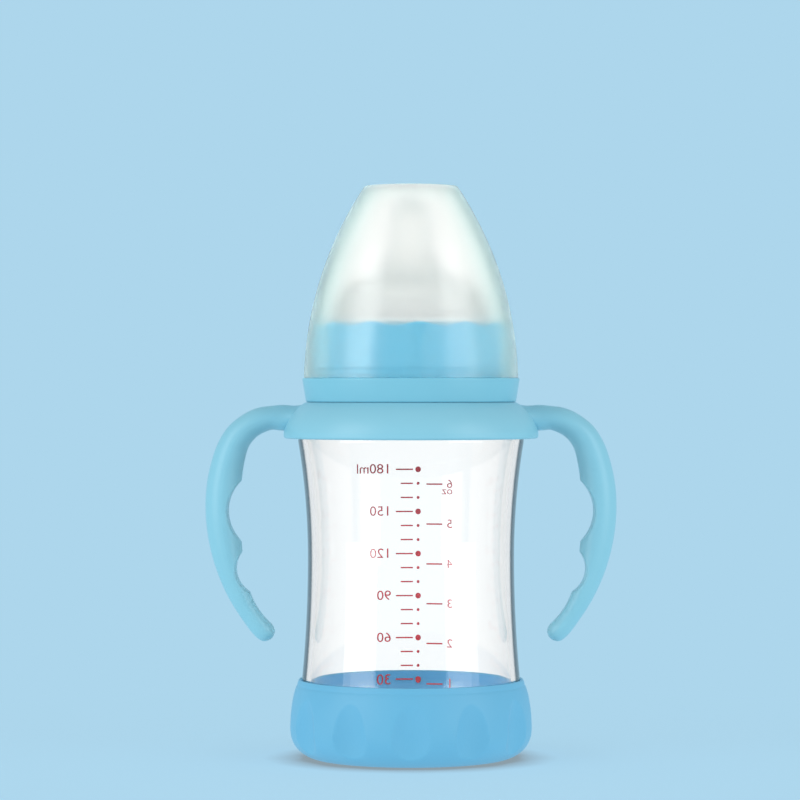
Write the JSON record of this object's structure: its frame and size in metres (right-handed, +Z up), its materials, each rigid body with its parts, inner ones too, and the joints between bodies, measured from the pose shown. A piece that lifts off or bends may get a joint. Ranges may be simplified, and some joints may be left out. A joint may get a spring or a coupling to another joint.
{
  "type": "baby bottle",
  "caption": "Wide-neck waisted glass feeding bottle with a handle ring, soft base cover, screw collar, hollow silicone teat and domed frosted cap.",
  "frame": {"origin": "on the bottle's axis, at the floor that the base cover stands on", "axes": "+Z up along the bottle's axis, +X through the handle on the right as seen from the front, -Y toward the front"},
  "size_m": [0.1172, 0.0726, 0.1629],
  "materials": {
    "clear_glass": "clear pressed and blown borosilicate glass, fire polished",
    "cover_silicone": "moulded matte silicone, sky blue",
    "ring_plastic": "satin injection moulded polypropylene, pale blue",
    "teat_silicone": "soft translucent moulded silicone",
    "collar_plastic": "satin injection moulded polypropylene, pale blue",
    "cap_plastic": "frosted translucent injection moulded polypropylene"
  },
  "bodies": {
    "bottle": {"glass_bottle": "clear_glass"},
    "base": {"base_cover": "cover_silicone"},
    "handles": {"handle_ring": "ring_plastic"},
    "nipple": {"teat": "teat_silicone"},
    "collar": {"screw_collar": "collar_plastic"},
    "cap": {"dome_cap": "cap_plastic"}
  },
  "joints": [
    {"name": "cover_pull", "type": "slide", "parent": "bottle", "child": "base", "axis": [0, 0, -1], "range_m": [0, 0.03]},
    {"name": "handle_swivel", "type": "hinge", "parent": "bottle", "child": "handles", "pos_m": [0, 0, 0.096], "axis": [0, 0, 1], "continuous": true},
    {"name": "teat_lift", "type": "slide", "parent": "bottle", "child": "nipple", "axis": [0, 0, 1], "range_m": [0, 0.0076]},
    {"name": "collar_turn", "type": "hinge", "parent": "nipple", "child": "collar", "pos_m": [0, 0, 0.1014], "axis": [0, 0, 1], "range_deg": [0, 540]},
    {"name": "cap_lift", "type": "slide", "parent": "collar", "child": "cap", "axis": [0, 0, 1], "range_m": [0, 0.06]}
  ],
  "couplings": [
    {"joint": "teat_lift", "follows": "collar_turn", "m_per_rad": 0.00079577}
  ]
}
